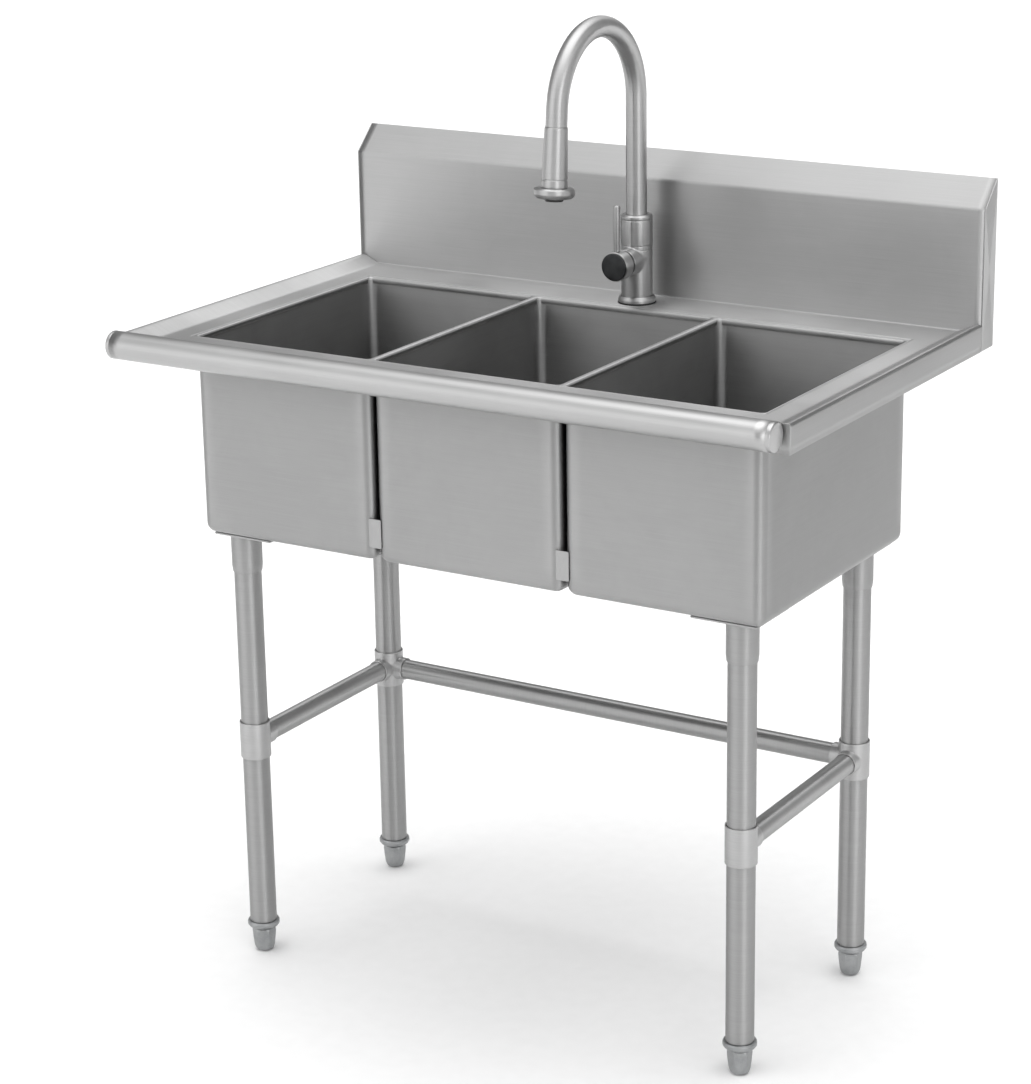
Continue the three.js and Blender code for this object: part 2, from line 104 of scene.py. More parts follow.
# each channel of an sRGB hex colour, turned to linear light by the sRGB curve
def linear(code):
    channel = np.array([int(code[i:i + 2], 16) / 255 for i in (1, 3, 5)])
    low = channel / 12.92
    high = ((channel + 0.055) / 1.055) ** 2.4
    return (*np.where(channel <= 0.04045, low, high).tolist(), 1.0)


# One node, its settings, and its inputs: a plain value is set, a socket is linked, and a node is
# linked by its first output. `kind` leaves out the ShaderNode that every type's name starts with.
def addNode(tree, kind, settings=None, inputs=None):
    node = tree.nodes.new("ShaderNode" + kind)
    for key, value in (settings or {}).items():
        setattr(node, key, value)
    for key, value in (inputs or {}).items():
        if isinstance(value, bpy.types.Node):
            value = value.outputs[0]
        if isinstance(value, bpy.types.NodeSocket):
            tree.links.new(value, node.inputs[key])
        else:
            node.inputs[key].default_value = value
    return node


# a material with an empty node tree
def newMaterial(name):
    material = bpy.data.materials.new(name)
    material.use_nodes = True
    material.node_tree.nodes.clear()
    return material, material.node_tree


# the stops are (position, value) pairs, from dark to light
def setRamp(node, stops):
    ramp = node.color_ramp
    while len(ramp.elements) < len(stops):
        ramp.elements.new(0.5)
    for element, (position, value) in zip(ramp.elements, stops):
        element.position = position
        element.color = (value, value, value, 1)


# ---- brushed metals

# a few long scratches: noise stretched along one slant, `scale` repeats to the metre, of which
# only the peaks are kept
hairline = {"turn": (0.3, 0.5, 0.42), "scale": (9, 9, 420), "cut": [(0.70, 0.0), (0.74, 1.0)],
            "depth": 0.25}


# Stainless and nickel that went past an abrasive belt: fine parallel lines that catch the light
# across the grain, soft handling smudges, and a few long hairline scratches.
# The belt's lines are about 0.15 mm apart, too fine to show, so they are drawn `spacing` apart and
# `streak` long. `patchy` is how far a smudge shifts the tone, `stretch` how far the grain spreads
# the shine across itself, and `polish` how much smoother the ground seams are.
def brushedMetal(name, look):
    material, tree = newMaterial(name)
    space = addNode(tree, "TexCoord")
    along = 1000 / look["streak"]
    across = 1000 / look["spacing"]
    uv = space.outputs["UV"]
    grainPlace = addNode(tree, "Mapping", None, {"Vector": uv, "Scale": (along, across, 1)})
    grain = addNode(tree, "TexNoise", None,
                    {"Vector": grainPlace, "Scale": 1.0, "Detail": 3.0, "Roughness": 0.65})
    bandPlace = addNode(tree, "Mapping", None,
                        {"Vector": uv, "Scale": (along * 0.25, across * 0.12, 1)})
    band = addNode(tree, "TexNoise", None, {"Vector": bandPlace, "Scale": 1.0, "Detail": 2.0})
    smudge = addNode(tree, "TexNoise", None,
                     {"Vector": space.outputs["Object"], "Scale": 1000 / look["smudge"],
                      "Detail": 4.0, "Roughness": 0.55, "Distortion": 0.4})
    hairPlace = addNode(tree, "Mapping", None,
                        {"Vector": space.outputs["Object"], "Rotation": hairline["turn"],
                         "Scale": hairline["scale"]})
    hair = addNode(tree, "TexNoise", None, {"Vector": hairPlace, "Scale": 1.0, "Detail": 1.0})
    scratch = addNode(tree, "ValToRGB", None, {"Fac": hair})
    setRamp(scratch, hairline["cut"])
    mixed = addNode(tree, "Math", {"operation": "MULTIPLY_ADD"}, {0: band, 1: 0.25, 2: grain})
    tone = addNode(tree, "MapRange", None, {"Value": mixed, "From Min": 0.35, "From Max": 0.9})
    fine = addNode(tree, "Mix", {"data_type": "RGBA"},
                   {"Factor": tone, "A": linear(look["dark"]), "B": linear(look["light"])})
    shade = addNode(tree, "MapRange", None,
                    {"Value": smudge, "From Min": 0.35, "From Max": 0.65,
                     "To Min": 1 - look["patchy"], "To Max": 1 + look["patchy"]})
    colour = addNode(tree, "Mix", {"data_type": "RGBA", "blend_type": "MULTIPLY"},
                     {"Factor": 1.0, "A": fine.outputs["Result"], "B": shade.outputs["Result"]})
    cloud = addNode(tree, "MapRange", None,
                    {"Value": smudge, "From Min": 0.35, "From Max": 0.68,
                     "To Min": look["rough"] - look["roughSpread"],
                     "To Max": look["rough"] + look["roughSpread"]})
    wear = addNode(tree, "Math", {"operation": "MULTIPLY_ADD"}, {0: tone, 1: 0.06, 2: cloud})
    polish = addNode(tree, "Attribute", {"attribute_name": "polish"})
    rough = addNode(tree, "Math", {"operation": "MULTIPLY_ADD", "use_clamp": True},
                    {0: polish.outputs["Fac"], 1: -look["polish"], 2: wear})
    height = addNode(tree, "Math", {"operation": "MULTIPLY_ADD"},
                     {0: scratch, 1: -hairline["depth"], 2: grain})
    bump = addNode(tree, "Bump", None,
                   {"Height": height, "Strength": look["bump"], "Distance": 0.00012})
    grainWay = addNode(tree, "Tangent", {"direction_type": "UV_MAP"})
    shader = addNode(tree, "BsdfPrincipled", None,
                     {"Base Color": colour.outputs["Result"], "Roughness": rough,
                      "Normal": bump, "Tangent": grainWay,
                      "Metallic": 1.0, "Anisotropic": look["stretch"],
                      "Anisotropic Rotation": 0.25})
    addNode(tree, "OutputMaterial", None, {"Surface": shader})
    return material


beltFinish = {"spacing": 1.0, "patchy": 0.05, "roughSpread": 0.04, "bump": 0.05, "stretch": 0.90,
              "polish": 0.0}
# sheet from the mill, belt-polished along its length: silky, pale, with long faint lines
sheetLook = {**beltFinish, "dark": "#A8A8A8", "light": "#B3B3B3", "streak": 110, "smudge": 190,
             "patchy": 0.06, "rough": 0.42}
# the same sheet bent and welded into tubs, ground by hand: greyer, cloudier, shiny by its seams
bowlLook = {**beltFinish, "dark": "#A1A1A1", "light": "#ABABAB", "streak": 90, "smudge": 150,
            "patchy": 0.08, "rough": 0.45, "polish": 0.10}
# sheet rolled along its grain and buffed: a clearer shine that runs the whole length
rimLook = {**beltFinish, "dark": "#AAAAAA", "light": "#B4B4B4", "streak": 150, "smudge": 160,
           "patchy": 0.03, "rough": 0.33, "roughSpread": 0.03, "stretch": 0.55}
# welded tube, polished on a turning lathe: one long bright line between dull flanks
tubeLook = {**beltFinish, "dark": "#A2A2A2", "light": "#AEAEAE", "streak": 120, "smudge": 90,
            "rough": 0.43, "stretch": 0.92}
# cast collars, blasted with glass beads: paler and flatter than the tubes they hold
collarLook = {**beltFinish, "dark": "#ACACAC", "light": "#BABABA", "spacing": 0.9, "streak": 60,
              "smudge": 50, "patchy": 0.04, "rough": 0.46, "bump": 0.08, "stretch": 0.60}
# strainers spun over a form and buffed: the brightest steel, with streaks that run round
spunLook = {**beltFinish, "dark": "#A5A5A5", "light": "#B7B7B7", "spacing": 0.8, "streak": 40,
            "smudge": 60, "rough": 0.26, "roughSpread": 0.05, "bump": 0.10, "stretch": 0.4}
# nickel plate, brushed before it was sealed: an even grey with a tight grain
nickelLook = {**beltFinish, "dark": "#AAAAAA", "light": "#B6B6B6", "spacing": 0.5, "streak": 45,
              "smudge": 60, "patchy": 0.03, "rough": 0.32, "roughSpread": 0.02, "bump": 0.03}

satinSheet = brushedMetal("satinStainlessSheet", sheetLook)
bowlSteel = brushedMetal("drawnStainlessBowl", bowlLook)
rimSteel = brushedMetal("rolledStainlessRim", rimLook)
tubeSteel = brushedMetal("polishedStainlessTube", tubeLook)
collarSteel = brushedMetal("blastedStainlessCollar", collarLook)
spunSteel = brushedMetal("spunStainlessStrainer", spunLook)
brushedNickel = brushedMetal("brushedNickelPlate", nickelLook)
print("brushed metals made")


# ---- the other materials

# A skin of small pebbles over broader patches, which vary its tone and its shine: castings,
# moulded rubber and plastic, and woven braid have it, each with its own sizes in millimetres.
def pebbledSkin(name, look):
    material, tree = newMaterial(name)
    space = addNode(tree, "TexCoord")
    pebble = addNode(tree, "TexNoise", None,
                     {"Vector": space.outputs["Object"], "Scale": 1000 / look["pebble"],
                      "Detail": 4.0, "Roughness": 0.6})
    patch = addNode(tree, "TexNoise", None,
                    {"Vector": space.outputs["Object"], "Scale": 1000 / look["patch"],
                     "Detail": 3.0})
    shade = addNode(tree, "Math", {"operation": "MULTIPLY_ADD", "use_clamp": True},
                    {0: pebble, 1: 0.5, 2: patch})
    tone = addNode(tree, "MapRange", None,
                   {"Value": shade.outputs[0], "From Min": 0.5, "From Max": 1.0})
    colour = addNode(tree, "Mix", {"data_type": "RGBA"},
                     {"Factor": tone, "A": linear(look["dark"]),
                      "B": linear(look["light"])})
    rough = addNode(tree, "MapRange", None,
                    {"Value": patch, "From Min": 0.3, "From Max": 0.7,
                     "To Min": look["rough"] - 0.08, "To Max": look["rough"] + 0.08})
    bump = addNode(tree, "Bump", None,
                   {"Height": pebble, "Strength": look["bump"],
                    "Distance": 0.0003})
    shader = addNode(tree, "BsdfPrincipled", None,
                     {"Base Color": colour.outputs["Result"], "Roughness": rough,
                      "Normal": bump, "Metallic": look["metallic"]})
    addNode(tree, "OutputMaterial", None, {"Surface": shader})
    return material


# die-cast zinc, tumbled with stones and left bare: dull grey, darker where it was handled
zincLook = {"dark": "#8F9192", "light": "#ACADAE", "pebble": 1.1, "patch": 14, "rough": 0.45,
            "bump": 0.25, "metallic": 1.0}
# cast nitrile rubber: matt black with a fine mould texture
rubberLook = {"dark": "#121212", "light": "#1E1E1E", "pebble": 0.7, "patch": 9, "rough": 0.62,
              "bump": 0.2, "metallic": 0.0}
# moulded ABS with a spark-eroded texture: near black, a soft sheen
absLook = {"dark": "#0A0A0A", "light": "#141414", "pebble": 0.6, "patch": 12, "rough": 0.42,
           "bump": 0.12, "metallic": 0.0}
# the handle's end cap, turned on a lathe: painted charcoal, far darker than the nickel round it,
# with a broad soft sheen
capLook = {"dark": "#3A3B3C", "light": "#454647", "pebble": 0.6, "patch": 10, "rough": 0.36,
           "bump": 0.06, "metallic": 0.85}
# woven steel braid over a hose: grey, glinting, dull in its hollows
braidLook = {"dark": "#6E7072", "light": "#9FA1A3", "pebble": 0.8, "patch": 6, "rough": 0.4,
             "bump": 0.3, "metallic": 0.9}

castZinc = pebbledSkin("tumbledZincCasting", zincLook)
blackRubber = pebbledSkin("mouldedNitrileRubber", rubberLook)
blackAbs = pebbledSkin("texturedBlackAbs", absLook)
darkCap = pebbledSkin("darkHandleCap", capLook)
steelBraid = pebbledSkin("wovenSteelBraid", braidLook)
print("cast and moulded materials made")


# ---- meshes from arrays


# quads between neighbouring points of a grid that has `rows` by `columns` points
def gridFaces(rows, columns):
    corner = np.arange(rows - 1)[:, None] * columns + np.arange(columns - 1)[None, :]
    return np.stack([corner, corner + 1, corner + columns + 1, corner + columns], -1).reshape(-1, 4)


# distance run along the grid's rows and its columns, in metres, measured on its middle lines
def runLengths(points):
    rows, columns = points.shape[:2]
    down = np.linalg.norm(np.diff(points[:, columns // 2], axis=0), axis=1)
    over = np.linalg.norm(np.diff(points[rows // 2], axis=0), axis=1)
    v = np.concatenate([[0], np.cumsum(down)]) * mm
    u = np.concatenate([[0], np.cumsum(over)]) * mm
    return np.stack(np.broadcast_arrays(u[None, :], v[:, None]), -1)


# One object from several grids of points. A grid may bring its own texture places, a mask of the
# quads to keep, and a polish value for each point. Doubled points are joined, so seams and poles
# close. A closed piece faces out. A sheet faces `facing`, a point of three numbers or a direction
# of four, and gets its wall behind it.
def addPiece(name, grids, material, nodes, body="sink", wall=0.0, facing=None, sharp=35):
    points = []
    faces = []
    texture = []
    polish = []
    start = 0
    for grid in grids:
        if not isinstance(grid, dict):
            grid = {"points": grid}
        shape = grid["points"].shape
        quads = gridFaces(shape[0], shape[1])
        if "keep" in grid:
            quads = quads[grid["keep"].reshape(-1)]
        uv = grid.get("uv")
        if uv is None:
            uv = runLengths(grid["points"])
        points.append(grid["points"].reshape(-1, 3))
        texture.append(uv.reshape(-1, 2))
        polish.append(np.broadcast_to(grid.get("polish", 0.0), shape[:2]).reshape(-1))
        faces.append(quads + start)
        start += shape[0] * shape[1]
    points = np.concatenate(points) * mm
    faces = np.concatenate(faces)
    texture = np.concatenate(texture)
    polish = np.concatenate(polish)

    mesh = bpy.data.meshes.new(name)
    mesh.from_pydata(points.tolist(), [], faces.tolist())
    layer = mesh.uv_layers.new(name="grain")
    corners = np.zeros(len(mesh.loops), dtype=np.int32)
    mesh.loops.foreach_get("vertex_index", corners)
    layer.data.foreach_set("uv", texture[corners].astype(np.float32).reshape(-1))
    mark = mesh.attributes.new("polish", "FLOAT", "POINT")
    mark.data.foreach_set("value", polish.astype(np.float32))

    work = bmesh.new()
    work.from_mesh(mesh)
    bmesh.ops.remove_doubles(work, verts=work.verts, dist=0.00001)
    bmesh.ops.dissolve_degenerate(work, edges=work.edges, dist=0.000005)
    bmesh.ops.recalc_face_normals(work, faces=work.faces)
    work.to_mesh(mesh)
    work.free()
    if facing is not None:
        count = len(mesh.polygons)
        area = np.zeros(count)
        normal = np.zeros(count * 3)
        centre = np.zeros(count * 3)
        mesh.polygons.foreach_get("area", area)
        mesh.polygons.foreach_get("normal", normal)
        mesh.polygons.foreach_get("center", centre)
        isPoint = len(facing) == 3
        to = np.array(facing[:3]) * mm - centre.reshape(-1, 3) if isPoint else facing[:3]
        agree = (normal.reshape(-1, 3) * to).sum(axis=1)
        if (agree * area).sum() < 0:
            mesh.flip_normals()
    mesh.shade_smooth()
    mesh.set_sharp_from_angle(angle=math.radians(sharp))
    mesh.materials.append(material)

    piece = bpy.data.objects.new(name, mesh)
    bpy.context.scene.collection.objects.link(piece)
    if wall:
        thick = piece.modifiers.new("wall", "SOLIDIFY")
        thick.thickness = wall * mm
        thick.offset = -1
        thick.use_even_offset = True
    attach(piece, body)
    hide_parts(*nodes)
    return piece


# each corner of an outline gives way to a parabola that starts `radius` back along both sides
def softCorners(outline, radius, closed=False, steps=5):
    corner = np.array(outline, dtype=float)
    before = np.roll(corner, 1, axis=0)
    after = np.roll(corner, -1, axis=0)
    if not closed:
        before[0] = corner[0]
        after[-1] = corner[-1]
    back = before - corner
    ahead = after - corner
    backRun = np.linalg.norm(back, axis=1, keepdims=True)
    aheadRun = np.linalg.norm(ahead, axis=1, keepdims=True)
    cut = np.minimum(np.broadcast_to(np.reshape(radius, (-1, 1)), backRun.shape),
                     0.48 * np.minimum(backRun, aheadRun))
    a = (corner + back / np.maximum(backRun, 1e-9) * cut)[:, None]
    b = (corner + ahead / np.maximum(aheadRun, 1e-9) * cut)[:, None]
    t = np.linspace(0, 1, steps)[None, :, None]
    curve = (1 - t) ** 2 * a + 2 * t * (1 - t) * corner[:, None] + t ** 2 * b
    curve = curve.reshape(-1, corner.shape[1])
    return np.concatenate([curve, curve[:1]]) if closed else curve


# an outline of radii and heights carried once round the Z axis
def turned(outline, segments=64):
    outline = np.asarray(outline)
    angle = np.linspace(0, 2 * math.pi, segments + 1)
    angle[-1] = 0
    radius = outline[:, :1]
    return np.stack([radius * np.cos(angle), radius * np.sin(angle),
                     np.broadcast_to(outline[:, 1:2], (len(outline), len(angle)))], -1)


# points drawn along +Z, turned so that +Z lies along `axis`, and moved to `origin`
def laid(points, origin, axis=(0, 0, 1)):
    turn = np.array(Vector((0, 0, 1)).rotation_difference(Vector(axis)).to_matrix())
    return points @ turn.T + np.array(origin, dtype=float)


# a closed pipe wall between two heights, with softened ends
def pipeWall(outer, inner, low, high, soft=0.5, segments=64):
    outline = [[inner, low], [outer, low], [outer, high], [inner, high]]
    return turned(softCorners(outline, soft, closed=True), segments)


# closed solid of revolution with softened corners, from pole to pole
def turnedSolid(outline, soft=0.6, segments=64):
    return turned(softCorners(outline, soft), segments)


# A side tube on an upright one: each ring point lies at an angle round the side tube, and its
# start lies on the upright cylinder, at the square root of R squared less its sideways reach
# squared. Near its start the radius swells by a quarter circle, like a weld.
def sideTube(mainRadius, radius, inner, length, weld, soft=0.8, segments=64):
    angle = np.linspace(0, 2 * math.pi, segments + 1)
    angle[-1] = 0
    swell = np.linspace(0, 1, 7)
    grow = weld * (1 - np.sin(swell * math.pi / 2))
    rise = weld * (1 - np.cos(swell * math.pi / 2))
    ringRadius = (radius + grow)[:, None]
    side = ringRadius * np.sin(angle)
    up = ringRadius * np.cos(angle)
    base = np.sqrt(np.maximum(mainRadius ** 2 - side ** 2, 0)) - 0.4
    out = base + rise[:, None]
    foot = np.stack([out, side, up], -1)
    tail = softCorners([[radius, length - 4], [radius, length], [inner, length],
                        [inner, mainRadius * 0.5]], soft)
    rest = np.stack([np.broadcast_to(tail[:, 1:2], (len(tail), len(angle))),
                     tail[:, :1] * np.sin(angle), tail[:, :1] * np.cos(angle)], -1)
    return np.concatenate([foot, rest])


# turns points about the Z axis and moves them
def spun(points, degrees, origin=(0, 0, 0)):
    c = math.cos(math.radians(degrees))
    s = math.sin(math.radians(degrees))
    turn = np.array([[c, -s, 0], [s, c, 0], [0, 0, 1]])
    return points @ turn.T + np.array(origin, dtype=float)


# a rectangle's four corners, anticlockwise
def rectangle(x0, x1, y0, y1):
    return [[x0, y0], [x1, y0], [x1, y1], [x0, y1]]


# A flat plate from a convex outline in two axes: rings shrink from the outline to its middle, and
# the rim is half a circle across the thickness.
def plate(outline, low, high, soft, place):
    loop = softCorners(outline, soft * 3, closed=True)
    middle = loop[:-1].mean(axis=0)
    reach = np.linalg.norm(loop - middle, axis=1, keepdims=True)
    thick = high - low
    bend = min(soft, thick / 2)
    t = np.linspace(0, math.pi / 2, 4)
    inset = np.concatenate([bend * (1 - np.sin(t)), bend * (1 - np.cos(t))])
    level = np.concatenate([low + bend * (1 - np.cos(t)), high - bend * (1 - np.sin(t))])
    rings = middle + (loop - middle) * (1 - inset[:, None, None] / reach)
    heart = np.broadcast_to(middle, (1, *loop.shape))
    flat = np.concatenate([heart, rings, heart])
    depth = np.concatenate([[low], level, [high]])[:, None]
    depth = np.broadcast_to(depth, flat.shape[:2])
    return place(flat[..., 0], flat[..., 1], depth)


# ---- the deck, one pressed sheet with three openings

# zero, then a straight climb, with the bend between them eased over `ease` each way
def softRamp(value, ease):
    bend = (value + ease) ** 2 / (4 * ease)
    return np.where(value < -ease, 0.0, np.where(value > ease, value, bend))


deck = {
    "half": 500.0, "front": -286.0, "rear": 288.0, "top": 910.0, "rim": 922.0,
    "rimFlat": 8.0, "border": 34.0, "skirt": 885.0, "edge": 4.0, "frontEdge": 0.6,
    "slopeStart": -250.0, "slope": math.radians(20.59), "bend": 3.2,
    "valley": 1.2,
    "openingHalfX": 139.0, "openingHalfY": 207.0, "openingY": -3.0, "openingCorner": 5.0,
    "pitch": 288.0, "collarY": 7.5, "lip": 3.0, "lipDrop": 8.0, "wall": 1.5,
}


# the higher of the side borders' rise and the front slope's rise, with the meeting line eased
def deckHeight(x, y):
    climb = (deck["rim"] - deck["top"]) / (deck["border"] - deck["rimFlat"])
    foot = deck["half"] - deck["border"]
    crest = deck["half"] - deck["rimFlat"]
    side = climb * (softRamp(abs(x) - foot, deck["bend"]) - softRamp(abs(x) - crest, deck["bend"]))
    front = math.tan(deck["slope"]) * softRamp(deck["slopeStart"] - y, deck["bend"] * 2)
    return deck["top"] + side + softRamp(front - side, deck["valley"])


# distances along one side of an opening's surround, close together by the corners
def sideSteps(length, count):
    near = np.array([0.0, 2.0, 4.0, 6.0])
    return np.concatenate([near, np.linspace(8, length - 8, count), length - near[::-1]])


# The outline of a rounded rectangle, four points on each half corner and `nx`, `ny` along its
# sides, anticlockwise from its front left corner's middle. `grow` moves it outwards.
def roundedLoop(halfX, halfY, radius, nx, ny, grow=0.0):
    r = np.maximum(radius + grow, 0.01)
    quarter = math.pi / 4
    t = np.linspace(0, quarter, 5)[:-1]
    cx = halfX - radius
    cy = halfY - radius
    centre = np.array([[-cx, -cy], [cx, -cy], [cx, cy], [-cx, cy]])
    counts = [nx, ny, nx, ny]
    loop = []
    for i in range(4):
        heading = -math.pi / 2 + i * math.pi / 2
        first = centre[i] + r * np.stack([np.cos(heading - quarter + t),
                                          np.sin(heading - quarter + t)], -1)
        out = np.array([math.cos(heading), math.sin(heading)]) * r
        share = np.linspace(0, 1, counts[i])[:, None]
        straight = (centre[i] + out) * (1 - share) + (centre[(i + 1) % 4] + out) * share
        last = centre[(i + 1) % 4] + r * np.stack([np.cos(heading + quarter - t[::-1]),
                                                   np.sin(heading + quarter - t[::-1])], -1)
        loop.append(np.concatenate([first, straight, last[:-1]]))
    loop = np.concatenate(loop)
    return np.concatenate([loop, loop[:1]])


# points along an opening's sides, shared by its surround and the deck's own grid
sideCountX = 17
sideCountY = 25


# From the surround's square outline in to the opening, then down over a quarter-round lip
def openingCollar(centreX):
    halfX = deck["pitch"] / 2
    halfY = deck["openingHalfY"] + deck["collarY"]
    stepX = sideSteps(2 * halfX, sideCountX) - halfX
    stepY = sideSteps(2 * halfY, sideCountY) - halfY
    front = np.stack([stepX[:-1], np.full(len(stepX) - 1, -halfY)], -1)
    right = np.stack([np.full(len(stepY) - 1, halfX), stepY[:-1]], -1)
    outer = np.concatenate([front, right, -front, -right])
    outer = np.concatenate([outer, outer[:1]])
    t = np.linspace(0, math.pi / 2, 6)
    grow = np.concatenate([deck["lip"] * (1 - np.sin(t)), [0.0]])
    drop = np.concatenate([deck["lip"] * (1 - np.cos(t)), [deck["lipDrop"]]])
    inner = [roundedLoop(deck["openingHalfX"], deck["openingHalfY"], deck["openingCorner"],
                         sideCountX, sideCountY, g) for g in grow]
    rings = np.stack([outer, *inner])
    height = deck["top"] - np.concatenate([[0], drop])
    points = np.concatenate([rings, np.broadcast_to(height[:, None, None],
                                                    (*rings.shape[:2], 1))], -1)
    points = points + np.array([centreX, deck["openingY"], 0])
    return {"points": points, "uv": points[..., :2] * mm}


# One grid for the whole deck with its three openings' surrounds left out, one for the turned-down
# edge and skirt, and one collar for each opening.
def deckGrids():
    pitch = deck["pitch"]
    innerX = 1.5 * pitch
    innerFront = deck["openingY"] - deck["openingHalfY"] - deck["collarY"]
    innerRear = deck["openingY"] + deck["openingHalfY"] + deck["collarY"]
    edge = deck["half"] - deck["edge"]
    front = deck["front"] + deck["frontEdge"]
    rear = deck["rear"] - deck["frontEdge"]
    cell = sideSteps(pitch, sideCountX)[:-1]
    cells = np.concatenate([cell - 1.5 * pitch, cell - 0.5 * pitch, cell + 0.5 * pitch])
    outer = np.linspace(innerX, edge, 26)
    xs = np.concatenate([-outer[::-1][:-1], cells, outer])
    middle = innerFront + sideSteps(innerRear - innerFront, sideCountY)
    ys = np.concatenate([np.linspace(front, innerFront, 30)[:-1], middle,
                         np.linspace(innerRear, rear, 14)[1:]])
    x, y = np.meshgrid(xs, ys)
    points = np.stack([x, y, deckHeight(x, y)], -1)
    midX = (xs[1:] + xs[:-1]) / 2
    midY = (ys[1:] + ys[:-1]) / 2
    inside = (abs(midX)[None, :] < innerX) & ((midY > innerFront) & (midY < innerRear))[:, None]
    flat = {"points": points, "uv": points[..., :2] * mm, "keep": ~inside}

    # the edge leaves each side square on and fans round the corners
    fan = np.linspace(0, math.pi / 2, 6)
    turns = []
    spots = []
    sides = [(np.stack([xs, np.full(len(xs), front)], -1), -math.pi / 2),
             (np.stack([np.full(len(ys), edge), ys], -1), 0.0),
             (np.stack([xs[::-1], np.full(len(xs), rear)], -1), math.pi / 2),
             (np.stack([np.full(len(ys), -edge), ys[::-1]], -1), math.pi)]
    for line, heading in sides:
        spots.append(line)
        turns.append(np.full(len(line), heading))
        spots.append(np.repeat(line[-1:], len(fan), axis=0))
        turns.append(heading + fan)
    spots = np.concatenate(spots)
    turns = np.concatenate(turns)
    spots = np.concatenate([spots, spots[:1]])
    turns = np.concatenate([turns, turns[:1]])
    nx = np.cos(turns)
    ny = np.sin(turns)
    bendDown = deck["frontEdge"] + (deck["edge"] - deck["frontEdge"]) * abs(nx)
    level = deckHeight(spots[:, 0], spots[:, 1])
    t = np.linspace(0, math.pi / 2, 6)[:, None]
    ringX = spots[:, 0] + nx * deck["edge"] * np.sin(t)
    ringY = spots[:, 1] + ny * deck["frontEdge"] * np.sin(t)
    ringZ = level - bendDown * (1 - np.cos(t))
    edges = np.stack([ringX, ringY, ringZ], -1)
    hem = edges[-1:].repeat(3, axis=0)
    fall = np.array([0.34, 0.67, 1.0])[:, None]
    hem[..., 2] = hem[..., 2] * (1 - fall) + deck["skirt"] * fall
    skirt = np.concatenate([edges, hem])
    return [flat, skirt] + [openingCollar(i * pitch) for i in (-1, 0, 1)]


addPiece("pressedDeck", deckGrids(), satinSheet, ["top_deck"], wall=deck["wall"],
         facing=(0, 0, 1, 0))


# ---- the rolled front rim

roll = {"radius": 19.0, "axisY": -308.0, "axisZ": 911.5, "halfLength": 493.0, "open": 62.0,
        "tailY": -284.0, "tailGap": 0.02, "wall": 1.5, "segments": 96, "capDepth": 6.5}


# a short straight tail that lies on the deck's slope, then most of a circle, carried along X
def rimGrids():
    slope = deck["slope"]
    start = math.pi / 2 - slope
    sweep = 2 * math.pi - math.radians(roll["open"])
    angle = start + np.linspace(0, sweep, roll["segments"])
    curl = np.stack([roll["axisY"] + roll["radius"] * np.cos(angle),
                     roll["axisZ"] + roll["radius"] * np.sin(angle)], -1)
    tail = np.array([[roll["tailY"], curl[0, 1] - (roll["tailY"] - curl[0, 0])
                      * math.tan(slope) + roll["tailGap"]]])
    outline = np.concatenate([tail, curl])
    end = roll["halfLength"] - roll["capDepth"]
    xs = np.linspace(-end, end, 60)
    y = np.broadcast_to(outline[:, :1], (len(outline), len(xs)))
    z = np.broadcast_to(outline[:, 1:], (len(outline), len(xs)))
    x = np.broadcast_to(xs, y.shape)
    return [np.stack([x, y, z], -1)]


# a disc with a wide rounded rim, welded into each end of the roll and ground smooth
def rimCap(side):
    r = roll["radius"]
    x = roll["halfLength"]
    back = x - roll["capDepth"]
    outline = [[0, back - 1.5], [r - 1.6, back - 1.5], [r, back], [r, x], [0, x]]
    cap = turnedSolid(outline, [0.5, 0.5, 0.5, 11.0, 8.0])
    return laid(cap, (0, roll["axisY"], roll["axisZ"]), (side, 0, 0))


addPiece("rolledFrontRim", rimGrids(), rimSteel, ["front_roll"], wall=roll["wall"],
         facing=(0, -1, 1, 0))
for side, word in ((-1, "Left"), (1, "Right")):
    addPiece("rimCap" + word, [rimCap(side)], rimSteel, ["front_roll"])
print("deck and rim made")


# ---- the backsplash

splash = {"front": 288.3, "rear": 327.0, "base": 910.1, "shoulder": 1077.0, "top": 1114.0,
          "lip": 42.0, "half": 498.2, "cove": 5.0, "wall": 1.5, "wave": 0.055, "endWall": 1.5}


# a bent profile carried along X; its tall face bows in and out by a fraction of a millimetre
def splashGrids():
    outline = np.array([[splash["front"] - 6, splash["base"]], [splash["front"], splash["base"]],
                        [splash["front"], 960], [splash["front"], 1010],
                        [splash["front"], 1050], [splash["front"], splash["shoulder"]],
                        [splash["rear"], splash["top"]],
                        [splash["rear"], splash["top"] - splash["lip"]]])
    line = softCorners(outline, [0, splash["cove"], 12, 12, 8, 3.0, 2.4, 0], steps=8)
    xs = np.linspace(-splash["half"], splash["half"], 90)
    x, y = np.meshgrid(xs, line[:, 0])
    z = np.broadcast_to(line[:, 1:2], x.shape)
    face = np.clip((z - 925) / 40, 0, 1) * np.clip((1065 - z) / 40, 0, 1)
    bow = np.sin(x / 97 + 0.8) * np.cos(z / 61) + 0.6 * np.sin(x / 41 + z / 83)
    return [np.stack([x, y + splash["wave"] * face * (bow + 1.6), z], -1)]


addPiece("backsplashPanel", splashGrids(), satinSheet, ["backsplash"], wall=splash["wall"],
         facing=(0, -1, 0.2, 0))
for side, word in ((-1, "left"), (1, "right")):
    shape = [[splash["front"], deck["skirt"]], [splash["rear"], deck["skirt"]],
             [splash["rear"], splash["top"]], [splash["front"], splash["shoulder"]]]
    end = plate(shape, deck["half"] - splash["endWall"], deck["half"], 0.6,
                lambda y, z, x, side=side: np.stack([side * x, y, z], -1))
    addPiece("splashEnd" + word.title(), [end], satinSheet, ["splash_end_" + word])
print("backsplash made")


